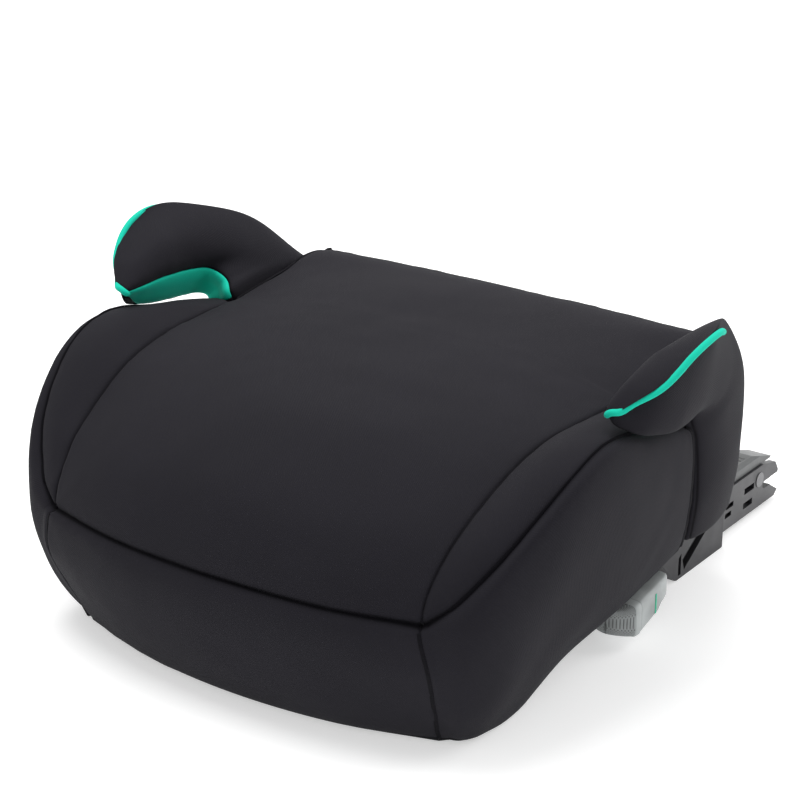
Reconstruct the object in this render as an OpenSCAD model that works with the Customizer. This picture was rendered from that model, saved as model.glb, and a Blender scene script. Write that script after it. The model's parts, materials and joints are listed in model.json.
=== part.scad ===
/* [Seat] */
// Overall scale of the soft shape across the width
width_factor = 1; // [0.98:0.01:1.04]
// Thickness of the sewn cover with its felt backing
cover_t = 3; // [2:0.5:4]
// Thickness of the foam under the centre panel
foam_t = 26; // [18:1:30]
// Wall of the moulded seat shell
shell_t = 3; // [2.5:0.5:4]

/* [Arms] */
// Diameter of the piping along the crest of each arm
piping_d = 4.6; // [3.6:0.2:5]
// Thickness of the coloured lining under each arm
lining_t = 1.8; // [1.2:0.2:2.2]
// Fabric thickness of the arm sleeves
sleeve_t = 3; // [2:0.5:4]

/* [Anchor slide] */
// Distance from the middle of the seat to the middle of each connector
anchor_x = 140; // [137:1:140]
// Width of a rail tube
rail_w = 14; // [12:1:15]
// Height of a rail tube
rail_h = 20; // [18:1:20]
// Wall of a rail tube
rail_t = 2; // [1.5:0.5:2.5]
// How far the slide frame goes in
slide_travel = 95; // [60:5:95]
// Radius of the jaw that takes a 6 mm anchor bar
jaw_r = 3.1; // [3.05:0.05:3.15]

/* [Side grips] */
// How far a grip is pressed in
grip_press = 8; // [6:0.5:8]

/* [Resolution] */
// Steps between two control points of the soft shape
steps = 3; // [2:1:4]

/* [Hidden] */
$fn = 48;

charcoal = [0.16, 0.155, 0.175];
dark_plastic = [0.12, 0.12, 0.13];
turquoise = [0.06, 0.72, 0.58];
grip_grey = [0.64, 0.66, 0.66];
steel = [0.62, 0.63, 0.64];
foam_white = [0.85, 0.85, 0.82];

// ---------- curves and lofted solids ----------

// Catmull-Rom point between b and c
function cr(a, b, c, d, t) =
    0.5 * (2 * b + (c - a) * t + (2 * a - 5 * b + 4 * c - d) * t * t
    + (3 * b - a - 3 * c + d) * t * t * t);

// smooth open curve through the points of p, n steps a span
function open_curve(p, n) = [
    for (i = [0 : len(p) - 2], k = [0 : n - 1])
        cr(i > 0 ? p[i - 1] : 2 * p[0] - p[1], p[i], p[i + 1],
           i < len(p) - 2 ? p[i + 2] : 2 * p[i + 1] - p[i], k / n),
    p[len(p) - 1]
];

// smooth closed curve through the points of p
function closed_curve(p, n) = [
    for (i = [0 : len(p) - 1], k = [0 : n - 1])
        cr(p[(i + len(p) - 1) % len(p)], p[i], p[(i + 1) % len(p)], p[(i + 2) % len(p)], k / n)
];

function flip(p) = [for (q = p) [-q[0], q[1], q[2]]];
function reversed(p) = [for (i = [len(p) - 1 : -1 : 0]) p[i]];
function tail(p) = [for (i = [1 : len(p) - 1]) p[i]];
function column(net, c) = [for (row = net) row[c]];
function transposed(m) = [for (c = [0 : len(m[0]) - 1]) column(m, c)];
function smooth_columns(net, n) =
    transposed([for (c = [0 : len(net[0]) - 1]) open_curve(column(net, c), n)]);

// points moved in across and along by two factors, and down by k[2] at the top and by nothing
// below the height level
function set_in(p, k, c, level, rise) = [for (q = p)
    [q[0] * k[0], c + (q[1] - c) * k[1], q[2] - k[2] * max(0, q[2] - level) / rise]];
function flat(m) = [for (row = m, q = row) q];

// two triangles over a grid cell, turned over when f is true
function cell(a, b, c, d, f) = f ? [[a, c, b], [a, d, c]] : [[a, b, c], [a, c, d]];

// triangles over rows of m points; the row closes on itself when ring is true
function sheet(rows, m, start, ring, f) = [
    for (r = [0 : rows - 2], c = [0 : m - (ring ? 1 : 2)])
        let (e = (c + 1) % m, a = start + r * m)
        each cell(a + c, a + e, a + m + e, a + m + c, f)
];

// fan over a closed ring of m points from the middle point
function fan(m, start, middle, f) = [
    for (c = [0 : m - 1])
        f ? [start + c, middle, start + (c + 1) % m] : [start + c, start + (c + 1) % m, middle]
];

// solid lofted through equal closed rings, closed at both ends by a fan
module loft(rings) {
    m = len(rings[0]);
    last = (len(rings) - 1) * m;
    polyhedron(
        concat(flat(rings), [middle(rings[0]), middle(rings[len(rings) - 1])]),
        concat(sheet(len(rings), m, 0, true, true), fan(m, 0, last + m, false),
               fan(m, last, last + m + 1, true)));
}

// sock: outer loft closed at its last ring, open at its first, with an inner wall
module sock(outer, inner) {
    m = len(outer[0]);
    n = len(outer) * m;
    k = len(inner) * m;
    polyhedron(
        concat(flat(outer), flat(inner), [middle(outer[len(outer) - 1]), middle(inner[len(inner) - 1])]),
        concat(sheet(len(outer), m, 0, true, true), fan(m, n - m, n + k, true),
               sheet(len(inner), m, n, true, false), fan(m, n + k - m, n + k + 1, false),
               [for (c = [0 : m - 1]) each cell(c, n + c, n + (c + 1) % m, (c + 1) % m, true)]));
}

function middle(p) = [for (k = [0 : 2]) sum([for (q = p) q[k]]) / len(p)];
function sum(v, i = 0) = i < len(v) ? v[i] + sum(v, i + 1) : 0;

module both_sides() {
    children();
    mirror([1, 0, 0]) children();
}
module left() { mirror([1, 0, 0]) children(); }

// ---------- shape of the seat ----------
// Right half of the top, front to back. Each row: middle line, quarter line, centre seam,
// middle of the wing, outer seam.
top_net = [
    [[0, -207, 98], [86, -201.5, 98], [154, -185, 98], [156, -184, 98.5], [158, -183, 99]],
    [[0, -199.5, 121], [86, -193.5, 120], [154.5, -176, 118], [165, -174.5, 115.5], [175, -172.5, 115]],
    [[0, -176, 151], [87, -169, 148.5], [157.5, -152, 144], [178, -150, 146], [195, -147, 146]],
    [[0, -120, 180], [88, -115, 177], [161.5, -105, 169.5], [187, -104, 179], [209.5, -103, 181]],
    [[0, -60, 191], [90, -60, 188.5], [164.5, -60, 181.5], [189, -60, 191.5], [212, -60, 193.5]],
    [[0, -8, 196], [91, -8, 193.5], [168.5, -8, 183], [189, -6, 188], [208.5, -4, 181.5]],
    [[0, 26, 197.5], [92, 26, 195], [171, 26, 182.5], [190, 40, 178], [207.5, 53, 165]],
    [[0, 40, 198], [92, 40, 195.5], [171, 38, 182.5], [172, 38.4, 182], [173, 38.8, 181.5]],
    [[0, 92, 199], [92, 92, 196.5], [171, 90, 187], [172, 90, 186.7], [173, 90, 186.4]],
    [[0, 132, 197], [92, 131, 195], [171.5, 128, 194], [172.2, 128, 193.5], [173, 128, 193]],
    [[0, 158, 192.5], [92, 157, 192], [170, 153, 192], [170.7, 153, 191.7], [171.5, 153, 191.4]]
];

// Walls below the edge of the top, right half, hem first. Each row: front middle, front quarter,
// the three points of the front corner, nine points down the side, the three points of the back
// corner, back quarter, back middle.
wall_net = [
    [[0, -186, 3.5], [80, -179, 3.5], [152, -158.5, 3.5], [154, -156, 3.5], [156, -153.5, 3.5],
     [164, -149.5, 3.5], [170, -135, 3.5], [173, -98, 4.5], [178, -48, 24], [186, 5, 38], [191, 89, 56],
     [173, 97, 57], [173, 120, 59], [173, 150, 62],
     [171, 178, 64], [170.5, 179, 64], [170, 180, 64], [92, 182, 64], [0, 183, 64]],
    [[0, -200, 32], [82, -193, 32], [156.5, -171, 32], [159, -169.5, 32], [162.5, -168, 32],
     [175.5, -162, 34], [188, -140, 42], [193, -99, 55], [201, -51, 75], [204, 2, 84],
     [201, 77, 88], [173, 84, 90], [173, 118, 93], [173, 150, 96],
     [171, 181, 98], [170.5, 182, 98], [170, 183, 98], [92, 185, 98], [0, 186, 98]],
    [[0, -208.5, 62], [84, -202.5, 62], [161, -184.5, 64], [163.5, -183, 64], [166, -181, 65],
     [183, -171.5, 72], [200, -146, 95], [213, -103, 124], [217.5, -56, 138], [215, -3, 133],
     [207, 69, 121], [173, 73, 122], [173, 116, 126], [173, 150, 130],
     [171, 180, 134], [170.5, 181.5, 134], [170, 182.5, 134], [92, 184.5, 134], [0, 185.5, 134]],
    [[0, -211, 86], [86, -205.5, 86], [156.7, -188, 90], [159.5, -186.5, 90], [162.5, -184.5, 91],
     [183, -174, 103], [202, -149, 136], [216.5, -105, 169], [219.5, -60, 182], [216, -4, 171],
     [210, 60, 155], [173, 58, 157], [173, 112, 163], [173, 146, 169],
     [171.2, 172, 173], [170.7, 173.5, 173], [170.2, 175, 173], [92, 177, 173], [0, 178, 173]]
];

// Rows of top_net where the outer seam turns round the foot of the arm
foot_rows = [6, 7];
// Point the shells of the seat shrink towards, along Y
shrink_y = -10;

// smooth curve that may break direction at the foot of the arm
function broken_curve(p, n) = concat(
    open_curve([for (i = [0 : foot_rows[0]]) p[i]], n),
    tail(open_curve([p[foot_rows[0]], p[foot_rows[1]]], n)),
    tail(open_curve([for (i = [foot_rows[1] : len(p) - 1]) p[i]], n))
);

// full-width row from its right half: middle, quarter, seam, wing, edge
function full_row(h, n) =
    let (wing = open_curve([h[2], h[3], h[4]], max(n - 1, 1)),
         centre = open_curve([each reversed(flip([h[1], h[2]])), h[0], h[1], h[2]], n))
    concat(reversed(flip(tail(wing))), centre, tail(wing));

// grid of points over the whole top
function top_grid(n) =
    let (cols = [for (c = [0 : 4])
            c < 3 ? open_curve(column(top_net, c), n) : broken_curve(column(top_net, c), n)])
    [for (row = transposed(cols)) full_row(row, n)];

// edge of a grid, counter-clockwise from its front left corner
function grid_edge(g) =
    let (v = len(g) - 1, u = len(g[0]) - 1)
    concat(g[0], [for (r = [1 : v - 1]) g[r][u]], reversed(g[v]), [for (r = [v - 1 : -1 : 1]) g[r][0]]);

// numbers of the points of that edge
function edge_ids(v, u) = concat(
    [for (c = [0 : u]) c], [for (r = [1 : v - 1]) r * (u + 1) + u],
    [for (c = [u : -1 : 0]) v * (u + 1) + c], [for (r = [v - 1 : -1 : 1]) r * (u + 1)]
);

// closed wall ring from one row of wall_net
function wall_ring(w, n) =
    let (side = broken_curve([for (i = [4 : 14]) w[i]], n),
         inner = [for (i = [1 : len(side) - 2]) side[i]],
         back = [w[18], w[17], w[16], w[15], w[14]])
    concat(full_row([for (i = [0 : 4]) w[i]], n), inner, reversed(full_row(back, n)),
           reversed(flip(inner)));

// wall rings from the hem up to just below the edge of the top
function wall_rings(grid, n, up) =
    let (rings = smooth_columns(concat([for (w = wall_net) wall_ring(w, n)], [grid_edge(grid)]), up))
    [for (i = [0 : len(rings) - 2]) rings[i]];

module cap_shell(k_out, k_in, n, up) {
    grid = top_grid(n);
    rings = wall_rings(grid, n, up);
    v = len(grid) - 1;
    u = len(grid[0]) - 1;
    m = len(rings[0]);
    g = (v + 1) * (u + 1);
    half = g + len(rings) * m;
    last = g + (len(rings) - 1) * m;
    ids = edge_ids(v, u);
    pts = concat(flat(grid), flat(rings));
    polyhedron(
        concat(drawn(pts, k_out), drawn(pts, k_in)),
        concat(
            sheet(v + 1, u + 1, 0, false, true),
            sheet(len(rings), m, g, true, true),
            [for (c = [0 : m - 1]) let (e = (c + 1) % m) each cell(last + c, last + e, ids[e], ids[c], true)],
            sheet(v + 1, u + 1, half, false, false),
            sheet(len(rings), m, half + g, true, false),
            [for (c = [0 : m - 1]) let (e = (c + 1) % m)
                each cell(half + last + c, half + last + e, half + ids[e], half + ids[c], false)],
            [for (c = [0 : m - 1]) let (e = (c + 1) % m) each cell(g + c, g + e, half + g + e, half + g + c, false)]
        ));
}

module top_slab(k_top, k_bottom, n) {
    grid = top_grid(n);
    v = len(grid) - 1;
    u = len(grid[0]) - 1;
    g = (v + 1) * (u + 1);
    ids = edge_ids(v, u);
    m = len(ids);
    polyhedron(
        concat(drawn(flat(grid), k_top), drawn(flat(grid), k_bottom)),
        concat(
            sheet(v + 1, u + 1, 0, false, true),
            sheet(v + 1, u + 1, g, false, false),
            [for (c = [0 : m - 1]) let (e = (c + 1) % m)
                each cell(g + ids[c], g + ids[e], ids[e], ids[c], true)]
        ));
}

// factors that move a face of the seat in by d and the top down by h
function shrink(d, h) = [width_factor * (1 - d / 213), 1 - d / 200, h];
function drawn(p, k) = set_in(p, k, shrink_y, 85, 113);

cover_gap = 1.5;
shell_d = cover_t + 2 * cover_gap + 0.8;
foam_top = cover_t + cover_gap + 0.8;
shell_top = foam_top + foam_t + cover_gap;

module seat_cover() {
    color(charcoal) cap_shell(shrink(0, 0), shrink(cover_t, cover_t), steps, 2);
}

module foam_pad() {
    color(foam_white) top_slab(shrink(shell_d, foam_top), shrink(shell_d, foam_top + foam_t), steps);
}

module seat_shell() {
    color(dark_plastic)
        cap_shell(shrink(shell_d, shell_top), shrink(shell_d + shell_t, shell_top + shell_t), steps, 2);
}

// ---------- shape of an arm ----------
// Right arm, from the foot of its rear column up, over and forward to its tip. Each row:
// inner edge, under middle, outer edge, outer side, crest, top, inner side, inner foot.
arm_net = [
    [[174.5, 99, 57], [183.5, 96, 58], [193, 94, 59.5], [196.5, 121, 61],
     [190.5, 156.5, 64], [179.5, 170, 65], [173, 179.5, 65], [174, 139.5, 61]],
    [[174.5, 86, 100], [189.5, 82, 100.5], [205, 78.5, 101.5], [209.5, 108.5, 103],
     [202.5, 143.5, 108], [189, 166, 105], [174.5, 181, 106], [174.5, 134.5, 103.5]],
    [[174.5, 63, 146], [192.5, 64.5, 148], [210, 64.5, 148], [215.5, 91.5, 150.5],
     [206.5, 138, 159.5], [191.5, 162, 154], [176, 175.5, 155.5], [175, 119.5, 153.5]],
    [[174.5, 41.5, 183], [192.5, 51, 173.5], [210, 56, 166], [219, 87, 175.5],
     [209, 123.5, 196], [194, 143.5, 184], [176.5, 148, 181], [175, 95, 186.5]],
    [[184, 47, 193], [198.5, 52, 182.5], [212, 54, 172.5], [225, 83, 187],
     [211, 98.5, 223.5], [200.5, 112.5, 219.5], [181, 113, 198], [179.5, 86, 197.5]],
    [[197, 44.5, 199], [204.5, 44.5, 188], [214, 43, 176], [228.5, 56, 192],
     [228, 60.5, 244], [217.5, 75.5, 238.5], [199, 76, 225.5], [188.5, 66, 210.5]],
    [[200, 24, 203], [206, 24, 191], [216, 23.5, 177.5], [230, 24, 188],
     [237.2, 32, 242.5], [231, 38, 244], [205, 30.5, 232.5], [198, 27, 215]],
    [[199.5, -2, 205.5], [206.5, -2, 193.5], [217, -2, 180], [229, -2.5, 189.5],
     [237, 1, 236], [233.5, -1, 236.5], [208.5, -1, 230.5], [198.5, -0.5, 217]],
    [[199, -28, 205.5], [206.5, -28.5, 197.5], [217, -27, 186], [225, -25, 197.5],
     [229.5, -22.5, 221], [227, -29, 222.5], [209, -27.5, 223], [200, -27.5, 215]],
    [[200.5, -42.5, 204.5], [205, -43, 199], [209.5, -41, 194], [214.5, -39, 201.5],
     [215.5, -38, 211.5], [214.5, -44.5, 210.5], [206.5, -43.5, 211], [201, -43.5, 208.5]],
    [[203.5, -46.5, 202.5], [205, -46.8, 201], [206, -46, 199.5], [208, -45.5, 202.5],
     [209, -46, 205.5], [208, -47, 206], [206, -47.2, 206], [204.5, -47, 204.8]]
];
// Row where the gap under the arm begins, and column of the crest
gap_row = 3;
crest = 4;

// smooth rings over the arm, one each 1 / n of a row
function arm_rings(n, m) =
    let (long = smooth_columns(arm_net, n)) [for (row = long) closed_curve(row, m)];

// rings moved in towards their middle by d
function drawn_in(rings, d) = [for (p = rings)
    let (c = middle(p))
    [for (q = p) let (v = c - q, l = norm(v)) q + v * min(d / max(l, 0.01), 0.55)]];

// points under the arm are moved in by a further d, to hold the lining
function under_step(rings, m, d) = [for (i = [0 : len(rings) - 1])
    let (p = rings[i], c = middle(p))
    [for (k = [0 : len(p) - 1])
        let (v = c - p[k], deep = i >= gap_row * arm_steps && k > 0 && k < 2 * m && i < len(rings) - 2)
        deep ? p[k] + v / norm(v) * d : p[k]]];

arm_steps = 2;
arm_round = 2;

module arm_sleeve() {
    rings = under_step(drawn_in(arm_rings(arm_steps, arm_round), 0.4), arm_round, lining_t + 0.9);
    color(charcoal) sock(rings, drawn_in(rings, sleeve_t));
}

module arm_core() {
    rings = arm_rings(arm_steps, arm_round);
    color(foam_white) loft(drawn_in([for (i = [1 : len(rings) - 5]) rings[i]], sleeve_t + lining_t + 4));
}

module arm_lining() {
    rings = arm_rings(arm_steps, arm_round * 2);
    rows = [for (i = [gap_row * arm_steps + 1 : len(rings) - 3]) rings[i]];
    cols = [1 : 2 * 2 * arm_round - 1];
    color(turquoise) slab(
        [for (p = rows) [for (k = cols) p[k]]],
        [for (p = rows) let (c = middle(p)) [for (k = cols) p[k] + (c - p[k]) / norm(c - p[k]) * lining_t]]);
}

// solid between two grids of the same size
module slab(a, b) {
    v = len(a) - 1;
    u = len(a[0]) - 1;
    g = (v + 1) * (u + 1);
    ids = edge_ids(v, u);
    m = len(ids);
    polyhedron(
        concat(flat(a), flat(b)),
        concat(sheet(v + 1, u + 1, 0, false, true), sheet(v + 1, u + 1, g, false, false),
               [for (c = [0 : m - 1]) let (e = (c + 1) % m)
                   each cell(g + ids[c], g + ids[e], ids[e], ids[c], true)]));
}

// round cord along the points of p, closed on itself when ring is true
module cord(p, r, sides, ring) {
    n = len(p);
    rings = [for (i = [0 : n - 1])
        let (a = ring ? p[(i + n - 1) % n] : p[max(i - 1, 0)],
             b = ring ? p[(i + 1) % n] : p[min(i + 1, n - 1)],
             t = (b - a) / norm(b - a),
             s = cross(t, [0, 0, 1]) / norm(cross(t, [0, 0, 1])),
             w = cross(s, t))
        [for (k = [0 : sides - 1]) p[i] + r * (cos(360 * k / sides) * s - sin(360 * k / sides) * w)]];
    if (ring)
        polyhedron(flat(rings), [for (i = [0 : n - 1], c = [0 : sides - 1])
            let (e = (c + 1) % sides, j = (i + 1) % n)
            each cell(i * sides + c, i * sides + e, j * sides + e, j * sides + c, true)]);
    else
        loft(rings);
}

// crest line of the arm, moved out by d from the middle of each ring
function crest_line(d) = [for (p = [for (i = [arm_steps * 4 : len(arm_rings(arm_steps, 1)) - 2])
        arm_rings(arm_steps, 1)[i]])
    let (c = middle(p), q = p[crest]) q + (q - c) / norm(q - c) * d];

module arm_piping() {
    color(turquoise) cord(open_curve(crest_line(1.2), 2), piping_d / 2, 8, false);
}

module hem_binding() {
    ring = wall_ring(wall_net[0], steps);
    thin = [for (i = [0 : len(ring) - 1]) if (norm(ring[i] - ring[(i + 1) % len(ring)]) > 1.2) ring[i]];
    color(dark_plastic)
        cord([for (q = drawn(thin, shrink(cover_t / 2, 0))) q - [0, 0, 1.5]], 1.1, 6, true);
}

// ---------- plain solids ----------

// box from its low corner to its high corner
module block(a, b) { translate(a) cube(b - a); }

// plate between two x values, outline in [y, z] points
module side_plate(x0, x1, pts) {
    translate([x0, 0, 0]) rotate([90, 0, 90]) linear_extrude(x1 - x0) polygon(pts);
}

// plate between two y values, outline in [x, z] points
module cross_plate(y0, y1, pts) {
    translate([0, y1, 0]) rotate([90, 0, 0]) linear_extrude(y1 - y0) polygon(pts);
}

// round bar along X, Y or Z
module bar_x(x0, x1, y, z, r) { translate([x0, y, z]) rotate([0, 90, 0]) cylinder(r = r, h = x1 - x0); }
module bar_z(x, y, z0, z1, r) { translate([x, y, z0]) cylinder(r = r, h = z1 - z0); }

// coil spring standing on z = 0
module coil(r, wire, height, turns) {
    n = 10;
    cord([for (i = [0 : n * turns])
        [r * cos(360 * i / n), r * sin(360 * i / n), wire / 2 + (height - wire) * i / (n * turns)]],
        wire / 2, 6, false);
}

// ---------- base tray, feet and screws ----------

tray_low = 5.5;
tray_high = 8.5;
tray_edge = anchor_x - 19;
screw_x = anchor_x - 25;
screw_rows = [50, 90, 125, 165];
feet = [[0, 0], [110, -110], [-110, -110]];
rib_top = 193.5 - (shell_top + shell_t) * 108.5 / 113 - 1.5;

module tray_floor() {
    right = [[76, -160], [125, -143], [143, -122], [150, -95], [150, -60], [tray_edge, -50], [tray_edge, 178]];
    pts = concat([[0, -168]], right, reversed([for (q = right) [-q[0], q[1]]]));
    translate([0, 0, tray_low]) linear_extrude(tray_high - tray_low) polygon(pts);
}

module base_tray() {
    color(dark_plastic) difference() {
        union() {
            tray_floor();
            block([-110, -140, tray_low], [110, -136.5, 40]);
            block([-106, 168, tray_low], [106, 171, 48]);
            both_sides() {
                block([103, -12, tray_low], [106, 171, 48]);
                block([58.5, -12, tray_low], [61.5, 140, rib_top]);
            }
            for (y = [20, 110]) block([-100, y - 1.5, tray_low], [100, y + 1.5, rib_top]);
            for (p = feet) bar_z(p[0], p[1], tray_low, 10.3, 8);
        }
        both_sides() {
            for (y = screw_rows) bar_z(screw_x, y, 0, 20, 2.35);
        }
        for (p = feet) bar_z(p[0], p[1], 0, 11, 4.05);
        for (x = [-85, -50, 15, 50]) block([x, 60, 0], [x + 30, 72, 20]);
    }
}

module rubber_feet() {
    color([0.09, 0.09, 0.09]) for (p = feet) translate([p[0], p[1], 0]) {
        difference() {
            cylinder(r = 13, h = tray_low - 0.1);
            for (r = [6, 9.5])
                translate([0, 0, -0.1]) rotate_extrude() translate([r, 0]) square([1.2, 0.9]);
        }
        translate([0, 0, tray_low - 0.2]) cylinder(r = 4, h = 4.8);
    }
}

module shell_screws() {
    color(steel) both_sides() for (y = screw_rows) difference() {
        union() {
            bar_z(screw_x, y, 2.7, tray_low - 0.1, 4.2);
            bar_z(screw_x, y, tray_low - 0.2, 20, 2.25);
        }
        translate([screw_x, y, 2.6]) cylinder(r = 1.9, h = 1.6, $fn = 6);
    }
}

// ---------- rail guide and rail bracket ----------

rail_mid = 19;
rail_low = rail_mid - rail_h / 2;
rail_top = rail_mid + rail_h / 2;
stop_y = 85;
lock_y = 40;
slip = 0.4;
pin_r = 4;
stop_r = 3;

// flange with two screw posts beside the rail
module screw_flange(x1, y0, y1, rows) {
    difference() {
        union() {
            block([anchor_x - 32, y0, tray_high + 0.2], [x1, y1, 12]);
            for (y = rows) bar_z(screw_x, y, tray_high + 0.2, 22, 4.5);
        }
        for (y = rows) bar_z(screw_x, y, 5, 23, 2.35);
    }
}

module rail_guide() {
    w = rail_w / 2 + slip;
    color(dark_plastic) {
        difference() {
            union() {
                block([anchor_x - 10, 25, 3], [anchor_x + 9.6, 103, 36]);
                block([anchor_x - 10, 25, 3], [anchor_x + 9.6, 57, 41]);
                block([anchor_x - 7, 25, 40], [anchor_x + 7, 29, 69]);
                block([anchor_x - 7, 51, 40], [anchor_x + 7, 55, 69]);
                block([anchor_x - 7, 25, 66.2], [anchor_x + 7, 55, 69]);
            }
            block([anchor_x - w, 20, rail_low - slip], [anchor_x + w, 110, rail_top + slip]);
            bar_z(anchor_x, lock_y, rail_mid, 45, pin_r + 0.05);
            bar_z(anchor_x, stop_y, 0, 40, stop_r + 0.05);
            for (y = [62, 76]) block([anchor_x - 6, y, 31.5], [anchor_x + 6, y + 6, 40]);
        }
        screw_flange(anchor_x - 9.9, 40, 100, [screw_rows[0], screw_rows[1]]);
    }
}

module stop_pins() {
    color(steel) both_sides() bar_z(anchor_x, stop_y, 3.4, 35.6, stop_r);
}

module rail_bracket() {
    x0 = anchor_x - 18;
    x1 = anchor_x + 20;
    color(dark_plastic) {
        difference() {
            side_plate(x0, x1, [[104, 52], [104, 34], [133, 3.5], [136, 1], [139, 0], [209, 0], [210, 1], [210, 52]]);
            block([anchor_x - 13.5, 100, 3], [anchor_x + 13.5, 215, 50]);
            block([anchor_x - 13.5, 100, -1], [anchor_x + 13.5, 142, 50]);
            side_plate(x1 - 4, x1 + 1, [[150, 5], [185, 26], [181, 34], [147, 14]]);
            side_plate(x1 - 3, x1 + 1, [[141, 3], [145, 3], [145, 20], [141, 17]]);
            for (y = [150, 166, 182]) block([anchor_x - 9, y, -1], [anchor_x + 9, y + 8, 4]);
        }
        screw_flange(x0 + 0.1, 114, 175, [screw_rows[2], screw_rows[3]]);
    }
}

// ---------- slide frame and connectors ----------

rail_front = -40;
rail_back = 236;
cross_y = -30;
lock_holes = [lock_y, lock_y + slide_travel / 2, lock_y + slide_travel];
rail_pin_y = 225;

module rail_tube() {
    x0 = anchor_x - rail_w / 2;
    x1 = anchor_x + rail_w / 2;
    half_slot = stop_r + 0.3;
    difference() {
        block([x0, rail_front, rail_low], [x1, rail_back, rail_top]);
        block([x0 + rail_t, rail_front - 1, rail_low + rail_t], [x1 - rail_t, rail_back + 1, rail_top - rail_t]);
        block([anchor_x - half_slot, stop_y, 0], [anchor_x + half_slot, stop_y + slide_travel, 40]);
        bar_z(anchor_x, stop_y, 0, 40, half_slot);
        bar_z(anchor_x, stop_y + slide_travel, 0, 40, half_slot);
        for (y = lock_holes) bar_z(anchor_x, y, rail_mid, 40, pin_r + 0.3);
        bar_z(anchor_x, rail_pin_y, 0, 40, 2.05);
    }
}

module slide_frame() {
    end = anchor_x - rail_w / 2 + 1;
    color(steel) {
        both_sides() rail_tube();
        difference() {
            bar_x(-end, end, cross_y, rail_mid, 8);
            bar_x(-end + 2, end - 2, cross_y, rail_mid, 6.2);
        }
    }
}

module rail_pins() {
    color(steel) both_sides() bar_z(anchor_x, rail_pin_y, 5, 35, 2);
}

pivot_y = 284;
pivot_z = 27;
mouth_y = 293;
mouth_z = 19.6;
plate_top = 38;

// slots cut into both side plates, from depth d outside in
module vents(y0, y1, z0, z1, d) {
    block([anchor_x + 12 - d, y0, z0], [anchor_x + 13, y1, z1]);
    block([anchor_x - 13, y0, z0], [anchor_x - 12 + d, y1, z1]);
}

module connector() {
    half = rail_w / 2 + 0.1;
    color([0.22, 0.22, 0.23]) difference() {
        side_plate(anchor_x - 12, anchor_x + 12, [
            [214, 4], [311, 4], [316, 8], [303, 16], [303, 23], [315, 23],
            [316, 25], [311, 33], [290, plate_top], [214, plate_top]]);
        block([anchor_x - 6.5, 238, 8], [anchor_x + 6.5, 321, 46]);
        block([anchor_x - half, 210, rail_low - 0.1], [anchor_x + half, rail_back + 0.1, rail_top + 0.1]);
        block([anchor_x - 13, mouth_y, mouth_z - jaw_r], [anchor_x + 13, 320, mouth_z + jaw_r]);
        bar_x(anchor_x - 13, anchor_x + 13, mouth_y, mouth_z, jaw_r);
        bar_x(anchor_x - 13, anchor_x + 13, pivot_y, pivot_z, 2.55);
        bar_x(anchor_x + 10.5, anchor_x + 13, pivot_y, pivot_z, 6.1);
        bar_x(anchor_x - 13, anchor_x - 10.5, pivot_y, pivot_z, 6.1);
        bar_z(anchor_x, rail_pin_y, 0, 45, 2.05);
        vents(259, 275, 23, 28, 6);
        vents(258, 273, 11, 16, 6);
        vents(229, 241, 21, 25, 2.5);
        vents(228, 238, 14, 18, 2.5);
    }
}

module hook_rivet() {
    color(steel) {
        bar_x(anchor_x - 11.5, anchor_x + 11.5, pivot_y, pivot_z, 2.5);
        bar_x(anchor_x + 10.6, anchor_x + 12.6, pivot_y, pivot_z, 6);
        bar_x(anchor_x - 12.6, anchor_x - 10.6, pivot_y, pivot_z, 6);
    }
}

module latch_hook() {
    color(steel) difference() {
        union() {
            bar_x(anchor_x - 2.5, anchor_x + 2.5, pivot_y, pivot_z, 6.5);
            translate([0, pivot_y, pivot_z]) {
                side_plate(anchor_x - 2.5, anchor_x + 2.5, [
                    [5.5, 1.5], [14.5, 4.6], [15.1, -2.1], [20.4, -2.1], [20.4, 3.5], [18.5, 8.3], [0, 6.4]]);
                side_plate(anchor_x - 2.5, anchor_x + 2.5, [[-2, 4], [2, 4], [2, 10.6], [-2, 10.6]]);
            }
        }
        bar_x(anchor_x - 3, anchor_x + 3, pivot_y, pivot_z, 2.55);
    }
}

module release_slider() {
    low = plate_top + 0.4;
    color([0.5, 0.52, 0.52]) {
        difference() {
            intersection() {
                side_plate(anchor_x - 10, anchor_x + 10, [
                    [238, low], [304, low], [306, 39.5], [291, 44.5], [277, 48.5], [242, 49], [238, 47]]);
                cross_plate(236, 308, [
                    [anchor_x - 10, low - 1], [anchor_x + 10, low - 1], [anchor_x + 10, 45.5],
                    [anchor_x + 7, 49.5], [anchor_x - 7, 49.5], [anchor_x - 10, 45.5]]);
            }
            for (y = [256, 262, 268]) bar_x(anchor_x - 6, anchor_x + 6, y, 50, 1.8);
        }
        block([anchor_x - 3, 275.5, 34.6], [anchor_x + 3, 279, low + 1]);
        block([anchor_x - 3, 288.5, 34.6], [anchor_x + 3, 292, low + 1]);
    }
}

module latch_springs() {
    color(steel) both_sides() translate([anchor_x, 241, 18]) rotate([-90, 0, 0]) coil(4, 1.2, 21, 6);
}

// ---------- side grips and lock pins ----------

grip_side = [[14, 13], [30, 8.5], [58, 16.5], [62, 21], [72, 25.5], [75, 30], [74.5, 38], [71, 42], [14, 30.8]];
nose_x = 172;
nose_y = 33;
nose_r = 18;
head_low = 47.3;
fork_low = 41.3;
fork_start = anchor_x + 3;
lift = 0.75;

// ring piece round the nose of the grip between two radii and two heights
module nose_ring(r0, r1, z0, z1, a) {
    translate([nose_x, nose_y, 0]) rotate([0, 0, -80 - a]) rotate_extrude(angle = 2 * a)
        translate([r0, z0]) square([r1 - r0, z1 - z0]);
}

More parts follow.
